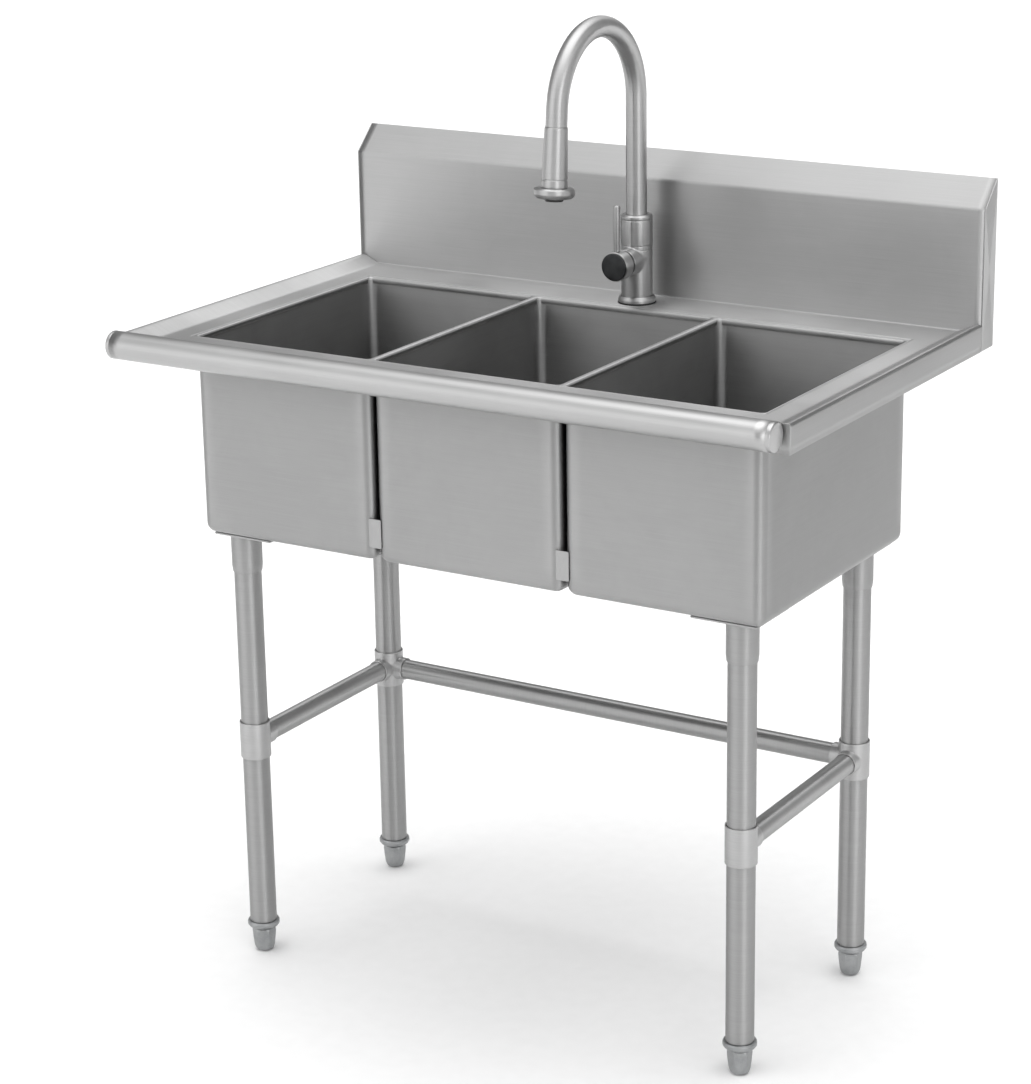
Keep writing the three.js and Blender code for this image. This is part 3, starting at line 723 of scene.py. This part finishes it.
# ---- the bowls

bowl = {"halfX": 140.5, "halfY": 210.5, "centreY": -4.0, "corner": 14.0, "floorRadius": 13.0,
        "bottom": 634.5, "top": 908.2, "lip": 3.3, "bend": 2.0, "wall": 1.5, "hole": 45.0,
        "seamAt": 17.0, "seamWide": 5.0, "seamPress": 0.35, "stepsX": 21, "stepsY": 31}


# Loops of a rounded rectangle from the top lip down the wall and round the floor's edge, then
# loops that melt from the rectangle into the drain's circle. The walls are polished in two upright
# bands beside each corner, where the seams were ground flush, and the sheet dips a little there.
def bowlGrids(centreX):
    t = np.linspace(0, math.pi / 2, 5)
    f = np.linspace(0, math.pi / 2, 9)
    r = bowl["floorRadius"]
    walls = np.linspace(bowl["top"] - bowl["bend"], bowl["bottom"] + r, 14)
    grow = np.concatenate([[bowl["lip"]], bowl["bend"] * (1 - np.sin(t)), np.zeros(12),
                           -r * (1 - np.cos(f))])
    level = np.concatenate([[bowl["top"]], bowl["top"] - bowl["bend"] * (1 - np.cos(t)),
                            walls[1:-1], bowl["bottom"] + r * (1 - np.sin(f))])
    rings = np.stack([roundedLoop(bowl["halfX"], bowl["halfY"], bowl["corner"],
                                  bowl["stepsX"], bowl["stepsY"], g) for g in grow])
    corner = np.array([bowl["halfX"], bowl["halfY"]])
    gap = corner - abs(rings)
    away = np.maximum(gap[..., 0], gap[..., 1])
    seam = np.exp(-((away - bowl["seamAt"]) / bowl["seamWide"]) ** 2)
    onWall = np.clip((level - bowl["bottom"] - r) / 12, 0, 1) * np.clip((900 - level) / 10, 0, 1)
    dip = (bowl["seamPress"] * seam * onWall[:, None])[..., None]
    widest = np.argmin(gap, axis=-1)[..., None]
    push = np.where(np.arange(2) == widest, np.sign(rings), 0.0)
    rings = rings - push * dip
    count = rings.shape[1]
    flat = rings[-1]
    circle = flat / np.linalg.norm(flat, axis=1, keepdims=True) * bowl["hole"]
    melt = np.array([0.12, 0.28, 0.46, 0.64, 0.82, 1.0])[:, None, None]
    floor = flat * (1 - melt) + circle * melt
    points2d = np.concatenate([rings, floor])
    z = np.concatenate([level, np.full(len(melt), bowl["bottom"])])
    points = np.concatenate([points2d, np.broadcast_to(z[:, None, None],
                                                       (len(z), count, 1))], -1)
    polish = np.concatenate([seam * onWall[:, None], np.zeros((len(melt), count))])
    return {"points": points + np.array([centreX, bowl["centreY"], 0]), "polish": polish}


drain = {"lugs": 4, "lugReach": 6.0, "lugHalf": 7.0, "lugFade": 1.2}


# the strainer cup: flange, cup and tailpiece turned as one closed wall
def drainCup():
    outline = [[19, -64], [22, -64], [22, -44], [43, -40], [43, 0.3],
               [57, 0.3], [56, 2.4], [41, 2.4], [41, -37.5], [19, -41.5]]
    return turned(softCorners(outline, 1.4, closed=True), 72)


# A ring whose outer radius steps out by the lug's reach on short arcs. A lug's half width and its
# fading edge are in degrees.
def drainNut():
    outline = softCorners([[43.6, -15], [54, -15], [54, -7], [54, -3], [43.6, -3]], 0.8,
                          closed=True)
    ring = turned(outline, 144)
    angle = np.arctan2(ring[..., 1], ring[..., 0])
    radius = np.hypot(ring[..., 0], ring[..., 1])
    pitch = 2 * math.pi / drain["lugs"]
    off = np.degrees(abs(angle / pitch % 1 - 0.5) * pitch)
    lug = np.clip((drain["lugHalf"] - off) / drain["lugFade"], 0, 1)
    lug = lug * (ring[..., 2] < -6.9) * (radius > 50)
    stretch = 1 + lug * drain["lugReach"] / np.maximum(radius, 1)
    ring[..., :2] *= stretch[..., None]
    return ring


# A cup with square gaps left in six of its rows. Subdivision turns each gap round.
def basketGrids():
    outline = np.array([[9.0, -29.2], [12, -29.2], [15, -29.2], [18, -29.2], [21, -29.2],
                        [24, -29.2], [27, -29.2], [30.4, -29.2], [32.4, -27.6], [33.0, -24.5],
                        [33.5, -20.5], [33.9, -17.5], [34.4, -13.5], [34.8, -10.5],
                        [35.3, -6.5], [35.7, -2.5], [36.3, 1.6], [37.6, 3.2], [40.5, 3.4],
                        [43.8, 3.4]])
    around = 64
    cup = turned(outline, around)
    rows = len(outline) - 1
    keep = np.ones((rows, around), dtype=bool)
    for row, step, first in ((1, 4, 0), (3, 2, 1), (5, 2, 0), (10, 2, 1), (12, 2, 0), (14, 2, 1)):
        keep[row, first::step] = False
    return {"points": cup, "keep": keep}


# the post and knob that the basket is lifted by, turned as one
def basketPost():
    outline = [[0, -30], [9.6, -30], [9.6, -28.2], [3.5, -27.4], [3.5, 4], [9, 6], [9, 11],
               [6, 13], [0, 13]]
    return turnedSolid(outline, 1.0, 40)


# one bowl with its drain, nut and basket
def addBowl(place, centreX):
    facing = (centreX, bowl["centreY"], 860)
    addPiece("bowl" + place.title(), [bowlGrids(centreX)], bowlSteel, ["bowl_" + place],
             wall=bowl["wall"], facing=facing)
    spot = (centreX, bowl["centreY"], bowl["bottom"])
    addPiece("drainCup" + place.title(), [laid(drainCup(), spot)], spunSteel,
             ["drain_body_" + place])
    addPiece("drainNut" + place.title(), [laid(drainNut(), spot)], castZinc,
             ["drain_locknut_" + place])
    cup = basketGrids()
    cup["points"] = laid(cup["points"], spot)
    basket = addPiece("strainerCup" + place.title(), [cup], spunSteel,
                      ["strainer_basket_" + place], body="basket_" + place, wall=1.0,
                      facing=(centreX, bowl["centreY"], 700))
    smooth = basket.modifiers.new("roundHoles", "SUBSURF")
    smooth.levels = 1
    smooth.render_levels = 1
    addPiece("strainerKnob" + place.title(), [laid(basketPost(), spot)], spunSteel,
             ["strainer_basket_" + place], body="basket_" + place)


for i, place in enumerate(places):
    addBowl(place, (i - 1) * deck["pitch"])

# the tab between two bowls' front walls
spacer = {"half": 9.5, "top": 693.0, "tall": 40.0, "front": -215.5, "wall": 1.5}
for side, word in ((-1, "left"), (1, "right")):
    x = side * deck["pitch"] / 2
    shape = rectangle(x - spacer["half"], x + spacer["half"], spacer["top"] - spacer["tall"],
                      spacer["top"])
    tab = plate(shape, spacer["front"], spacer["front"] + spacer["wall"], 0.6,
                lambda px, pz, py: np.stack([px, py, pz], -1))
    addPiece("bowlSpacer" + word.title(), [tab], satinSheet, ["bowl_spacer_" + word])
print("bowls and drains made")


# ---- legs, rails and feet

stand = {"leg": 19.0, "legWall": 1.5, "legLow": 48.3, "legHigh": 629.3, "socket": 21.3,
         "socketInner": 19.3, "socketLow": 575.0, "socketHigh": 629.9, "gussetLow": 630.2,
         "gussetHigh": 632.7, "collar": 21.4, "collarInner": 19.3, "railZ": 326.0,
         "collarHalf": 26.5, "stub": 16.6, "stubBore": 14.8, "stubReach": 31.0, "rail": 14.5,
         "railStart": 21.7, "ring": 22.8, "ringLow": 38.5, "bore": 6.4, "plug": 17.2}


# tapered at its mouth, and flared by a weld bead where it meets the plate above
def socketOutline():
    low = stand["socketLow"]
    high = stand["socketHigh"]
    inner = stand["socketInner"]
    outer = stand["socket"]
    return [[inner, low], [inner + 0.9, low], [outer, low + 9], [outer, high - 4],
            [outer + 1.2, high - 1.2], [outer + 2.6, high], [inner, high]]


# the turned radius, cut back to six flats where the turned form is wider than the hexagon
def bulletFoot(x, y):
    outline = np.array([[0, 0], [8, 0], [12.5, 2.5], [14.5, 8], [16.0, 20], [17.2, 30],
                        [17.2, 31.5], [15.5, 36], [6, 36], [6, 84], [0, 84]])
    line = softCorners(outline, [0, 1, 2, 2, 2, 1, 1, 0.8, 0.6, 0.8, 0], steps=4)
    foot = turned(line, 72)
    angle = np.arctan2(foot[..., 1], foot[..., 0])
    radius = np.hypot(foot[..., 0], foot[..., 1])
    flat = 14.6 / np.cos((angle + math.pi / 6) % (math.pi / 3) - math.pi / 6)
    z = foot[..., 2]
    cut = (z > 10) & (z < 33) & (radius > flat)
    scale = np.where(cut, flat / np.maximum(radius, 1e-6), 1.0)
    foot[..., :2] *= scale[..., None]
    return foot + np.array([x, y, 0])


# a flanged ring with a plug inside the tube's end, bored for the foot's stem
def insertOutline():
    low = stand["ringLow"]
    ring = stand["ring"]
    bore = stand["bore"]
    plug = stand["plug"]
    return [[bore, low], [ring - 2.4, low], [ring, low + 3.4], [ring, low + 7.2],
            [ring - 1.2, 48], [plug, 48], [plug, 70], [bore, 70]]


# one leg with its plate, socket, collar and stubs, end ring and foot
def addCorner(word, x, y, stubs):
    title = word.title().replace("_", "")
    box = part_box("gusset_" + word)
    x0, x1, y0, y1 = [v / mm for v in (box[0][0], box[1][0], box[0][1], box[1][1])]
    sole = plate(rectangle(x0, x1, y0, y1), stand["gussetLow"], stand["gussetHigh"], 1.0,
                 lambda px, py, pz: np.stack([px, py, pz], -1))
    addPiece("gusset" + title, [sole], satinSheet, ["gusset_" + word])
    socket = turned(softCorners(socketOutline(), 0.7, closed=True), 72)
    addPiece("legSocket" + title, [socket + np.array([x, y, 0])], tubeSteel,
             ["leg_socket_" + word])
    tube = pipeWall(stand["leg"], stand["leg"] - stand["legWall"], stand["legLow"],
                    stand["legHigh"], 0.5, 72)
    addPiece("leg" + title, [tube + np.array([x, y, 0])], tubeSteel, ["leg_" + word])
    z = stand["railZ"]
    sleeve = pipeWall(stand["collar"], stand["collarInner"], z - stand["collarHalf"],
                      z + stand["collarHalf"], 1.0, 72)
    parts = [sleeve + np.array([x, y, 0])]
    for turn in stubs:
        arm = sideTube(stand["collar"], stand["stub"], stand["stubBore"], stand["stubReach"], 2.2)
        parts.append(spun(arm, turn, (x, y, z)))
    addPiece("railCollar" + title, parts, collarSteel, ["rail_collar_" + word])
    ring = turned(softCorners(insertOutline(), 0.6, closed=True), 64)
    addPiece("footInsert" + title, [ring + np.array([x, y, 0])], castZinc,
             ["foot_insert_" + word])
    addPiece("bulletFoot" + title, [bulletFoot(x, y)], castZinc, ["foot_" + word],
             body="foot_" + word)


for word, (x, y, stubs) in legCorners.items():
    addCorner(word, x, y, stubs)


# a tube between two legs' collars
def addRail(word, first, last):
    start = np.array([*legCorners[first][:2], stand["railZ"]])
    span = np.array([*legCorners[last][:2], stand["railZ"]]) - start
    length = np.linalg.norm(span)
    tube = pipeWall(stand["rail"], stand["rail"] - stand["legWall"], stand["railStart"],
                    length - stand["railStart"], 0.5, 64)
    addPiece("rail" + word.title(), [laid(tube, start, span / length)], tubeSteel,
             ["rail_" + word])


addRail("left", "front_left", "rear_left")
addRail("right", "front_right", "rear_right")
addRail("rear", "rear_left", "rear_right")
print("legs, rails and feet made")


# ---- the faucet, measured from the deck under its middle

faucet = {"y": 241.0, "z": 910.0, "body": 22.0, "barrel": 19.0, "barrelEnd": 38.0,
          "barrelZ": 62.0, "tube": 14.6, "bore": 13.0, "start": 83.8, "archRadius": 107.0,
          "archZ": 290.0, "splay": 5.0, "end": 20.0, "lever": 56.25}
faucetFoot = (0, faucet["y"], faucet["z"])
barrelSpot = (0, faucet["y"], faucet["z"] + faucet["barrelZ"])
splayAngle = math.radians(faucet["splay"])
archSweep = math.pi - splayAngle
outWay = (0, -math.sin(splayAngle), -math.cos(splayAngle))


# a turned piece with softened corners, its outline measured along `axis` from `origin`
def addTurned(name, outline, soft, material, node, body="sink", origin=faucetFoot,
              axis=(0, 0, 1), closed=False, segments=80):
    line = softCorners(outline, soft, closed=closed)
    addPiece(name, [laid(turned(line, segments), origin, axis)], material, [node], body=body)


addTurned("baseGasket", [[15.8, 0.3], [26.9, 0.3], [26.9, 2.0], [15.8, 2.0]], 0.4, blackRubber,
          "faucet_gasket", closed=True)
addTurned("baseRing", [[22.3, 2.3], [26.4, 2.3], [26.4, 6.4], [24.2, 11.0], [22.3, 11.0]], 0.8,
          brushedNickel, "faucet_base_ring", closed=True)
addTurned("mountingNut", [[15.8, -13], [26, -13], [26, -2.2], [15.8, -2.2]], 0.6, castZinc,
          "faucet_mounting_nut", closed=True, segments=6)

bodyLine = softCorners([[12, -58], [15.5, -58], [15.5, 2.3], [22, 2.3], [22, 76], [21.5, 76.6],
                        [21.5, 77.6], [22, 78.2], [22, 83.5], [12, 83.5]], 0.6, closed=True)
bodyTube = turned(bodyLine, 80) + np.array(faucetFoot)
barrelArm = sideTube(faucet["body"], faucet["barrel"], 14.0, faucet["barrelEnd"], 3.0)
barrelArm = spun(barrelArm, -90, barrelSpot)
barrelFace = turnedSolid([[0, 30], [14.4, 30], [14.4, 37.4], [0, 37.4]], 0.4)
addPiece("faucetBody", [bodyTube, barrelArm, laid(barrelFace, barrelSpot, (0, -1, 0))],
         brushedNickel, ["faucet_body"])

addTurned("cartridgeDome", [[0, 38.3], [13, 38.3], [12.2, 43], [9.5, 47], [5, 49.5], [0, 50]],
          1.6, castZinc, "cartridge_bonnet", "cartridge", barrelSpot, (0, -1, 0))
addTurned("handleHub", [[17, 44.5], [20.5, 44.5], [20.5, 64], [0, 64], [0, 60], [17, 58]], 1.0,
          brushedNickel, "handle_hub", "handle", barrelSpot, (0, -1, 0))
addTurned("handleFace", [[0, 64.3], [19.4, 64.3], [19.4, 65.4], [18.4, 66.2], [0, 66.3]],
          [0, 0.3, 0.5, 0.8, 0], darkCap, "handle_cap", "handle", barrelSpot, (0, -1, 0))
leverSpot = (0, faucet["y"] - faucet["lever"], faucet["z"] + faucet["barrelZ"])
addTurned("handleLever", [[0, 20.8], [4.4, 20.8], [5, 83], [3.6, 85], [0, 85]],
          [0, 0.4, 3, 1.6, 0], brushedNickel, "handle_lever", "handle", leverSpot, segments=48)
addTurned("spoutCollar", [[15.1, 83.8], [22.3, 83.8], [22.3, 118], [21.7, 118.6],
                          [21.7, 119.6], [22.3, 120.2], [22.3, 123.6], [20, 126], [15.1, 126]],
          0.6, brushedNickel, "spout_collar", "spout", closed=True)


# The spout's middle line runs up, round a half circle towards the front, and down at the splay
# angle. Rings of the outer wall run along it, and rings of the bore run back.
def spoutGrid():
    angle = np.linspace(0, archSweep, 64)
    r = faucet["archRadius"]
    arch = np.stack([-r * (1 - np.cos(angle)), faucet["archZ"] + r * np.sin(angle)], -1)
    lean = np.stack([-np.sin(angle), np.cos(angle)], -1)
    rise = np.linspace(faucet["start"], faucet["archZ"], 16)[:-1]
    riser = np.stack([np.zeros(len(rise)), rise], -1)
    drop = np.array([outWay[1:]])
    down = arch[-1] + drop * np.linspace(0, faucet["end"], 5)[1:, None]
    line = np.concatenate([riser, arch, down])
    way = np.concatenate([np.tile([0.0, 1.0], (len(riser), 1)), lean,
                          np.repeat(drop, len(down), axis=0)])
    line = np.concatenate([line, line[::-1], line[:1]])
    way = np.concatenate([way, way[::-1], way[:1]])
    half = (len(line) - 1) // 2
    radius = np.concatenate([np.full(half, faucet["tube"]), np.full(half, faucet["bore"]),
                             [faucet["tube"]]])
    turn = np.linspace(0, 2 * math.pi, 65)
    turn[-1] = 0
    x = radius[:, None] * np.cos(turn)
    off = radius[:, None] * np.sin(turn)
    y = line[:, :1] - off * way[:, 1:]
    z = line[:, 1:] + off * way[:, :1]
    return np.stack([x, y + faucet["y"], z + faucet["z"]], -1)


addPiece("spoutTube", [spoutGrid()], brushedNickel, ["spout_tube"], body="spout", sharp=50)

# the spout's open end, which the spray head's pieces are measured from
tipY = faucet["y"] - faucet["archRadius"] * (1 - math.cos(archSweep)) + outWay[1] * faucet["end"]
tipZ = (faucet["z"] + faucet["archZ"] + faucet["archRadius"] * math.sin(archSweep)
        + outWay[2] * faucet["end"])
tip = (0, tipY, tipZ)
addTurned("sprayBody", [[7, 0.3], [15.3, 0.3], [15.8, 3], [17.3, 68], [16.9, 68.8],
                        [16.9, 69.8], [17.4, 70.6], [17.6, 80], [7, 80]], 0.7, brushedNickel,
          "spray_body", "spray_head", tip, outWay, closed=True)
addTurned("sprayRing", [[13, 80.3], [25.4, 80.3], [27.6, 82.2], [27.6, 88.5], [25.6, 92.6],
                        [22.5, 94.3], [20, 92.6], [13, 92.6]], 1.1, brushedNickel, "spray_ring",
          "spray_head", tip, outWay, closed=True)


# the spray face: a shallow cup with rings of small raised nubs, each a smooth bump on the disc
def nozzleGrid():
    rim = np.array([[0, 84.0], [12.4, 84.0], [12.4, 97.4], [11.6, 98.2]])
    face = np.stack([np.linspace(11.2, 0, 40), np.full(40, 97.6)], -1)
    disc = turned(np.concatenate([rim, face]), 96)
    radius = np.hypot(disc[..., 0], disc[..., 1])
    angle = np.arctan2(disc[..., 1], disc[..., 0])
    for ring, count in ((4.0, 6), (8.4, 12)):
        off = (angle * count / (2 * math.pi)) % 1 - 0.5
        far = np.hypot(radius - ring, off * 2 * math.pi * ring / count)
        nub = 0.6 * np.exp(-(far / 0.9) ** 2)
        disc[..., 2] += nub * (disc[..., 2] > 97.5) * (radius < 11.3)
    return laid(disc, tip, outWay)


addPiece("sprayNozzle", [nozzleGrid()], blackAbs, ["spray_nozzle"], body="spray_head")


# a rod whose radius rises and falls along two crossing spirals, like braid
def hoseGrid():
    along = np.linspace(-46, 74, 200)
    turn = np.linspace(0, 2 * math.pi, 49)
    turn[-1] = 0
    weave = 0.16 * np.cos(8 * turn + along[:, None]) * np.cos(8 * turn - along[:, None])
    radius = 5.0 + weave
    wall = np.stack([radius * np.cos(turn), radius * np.sin(turn),
                     np.broadcast_to(along[:, None], radius.shape)], -1)
    low = np.broadcast_to(np.array([0, 0, along[0]]), (1, len(turn), 3))
    high = np.broadcast_to(np.array([0, 0, along[-1]]), (1, len(turn), 3))
    return laid(np.concatenate([low, wall, high]), tip, outWay)


addPiece("sprayHose", [hoseGrid()], steelBraid, ["spray_hose_end"], body="spray_head")
print("faucet made")


# ---- floor and light

# matt board, lightly mottled: near white, with no shine to catch the lamps
floorLook = {"reach": 60000.0, "light": "#F8F8F8", "dark": "#F3F3F3", "rough": 0.75, "grain": 25.0}


# a wide square at floor height
def addFloor(look):
    material, tree = newMaterial("paleStudioFloor")
    space = addNode(tree, "TexCoord")
    mottle = addNode(tree, "TexNoise", None,
                     {"Vector": space.outputs["Object"], "Scale": 1000 / look["grain"],
                      "Detail": 2.0})
    colour = addNode(tree, "Mix", {"data_type": "RGBA"},
                     {"Factor": mottle, "A": linear(look["dark"]),
                      "B": linear(look["light"])})
    shader = addNode(tree, "BsdfPrincipled", None,
                     {"Base Color": colour.outputs["Result"], "Roughness": look["rough"],
                      "Specular IOR Level": 0.1})
    addNode(tree, "OutputMaterial", None, {"Surface": shader})
    mesh = bpy.data.meshes.new("studioFloor")
    r = look["reach"] * mm
    mesh.from_pydata([(-r, -r, 0), (r, -r, 0), (r, r, 0), (-r, r, 0)], [], [(0, 1, 2, 3)])
    mesh.materials.append(material)
    floor = bpy.data.objects.new("studioFloor", mesh)
    bpy.context.scene.collection.objects.link(floor)


# A lamp is (bearing from the front in degrees, half width, softness, brightness); a dark flag has
# a negative brightness. `flatten` below one makes them tall instead of round.
studio = {"level": 0.90, "zenith": 2.95, "zenithFrom": 0.74, "zenithTo": 0.94, "flatten": 0.8,
          "lamps": [(-31, 10, 26, 0.80), (14, 6, 18, -0.45), (56, 6, 15, 2.8),
                    (150, 20, 42, -0.32), (180, 15, 45, -0.30), (-112, 20, 42, -0.50)]}


# Light from all round: an even grey, brightest overhead like one wide soft box, with tall soft
# lamps and a narrow dark flag in front, and dark flags behind. A lamp fades by the angle between
# it and each direction.
def addStudioLight(look):
    world = bpy.data.worlds.new("softStudio")
    world.use_nodes = True
    tree = world.node_tree
    tree.nodes.clear()
    space = addNode(tree, "TexCoord")
    part = addNode(tree, "SeparateXYZ", None, {"Vector": space.outputs["Generated"]})
    climb = addNode(tree, "MapRange", {"interpolation_type": "SMOOTHSTEP"},
                    {"Value": part.outputs["Z"], "From Min": look["zenithFrom"],
                     "From Max": look["zenithTo"], "To Min": look["level"],
                     "To Max": look["zenith"]})
    total = climb
    squeezed = addNode(tree, "VectorMath", {"operation": "MULTIPLY"},
                       {0: space.outputs["Generated"], 1: (1, 1, look["flatten"])})
    way = addNode(tree, "VectorMath", {"operation": "NORMALIZE"}, {0: squeezed})
    for bearing, half, soft, bright in look["lamps"]:
        turn = math.radians(bearing)
        near = addNode(tree, "VectorMath", {"operation": "DOT_PRODUCT"},
                       {0: way, 1: (math.sin(turn), -math.cos(turn), 0)})
        lamp = addNode(tree, "MapRange", {"interpolation_type": "SMOOTHSTEP"},
                       {"Value": near.outputs["Value"],
                        "From Min": math.cos(math.radians(half + soft)),
                        "From Max": math.cos(math.radians(half)), "To Max": bright})
        total = addNode(tree, "Math", None,
                        {0: total, 1: lamp.outputs["Result"]}).outputs[0]
    light = addNode(tree, "Background", None, {"Color": total, "Strength": 1.0})
    addNode(tree, "OutputWorld", None, {"Surface": light})
    bpy.context.scene.world = world


addFloor(floorLook)
addStudioLight(studio)
bpy.context.scene.view_settings.view_transform = "Standard"
print("floor and light made")
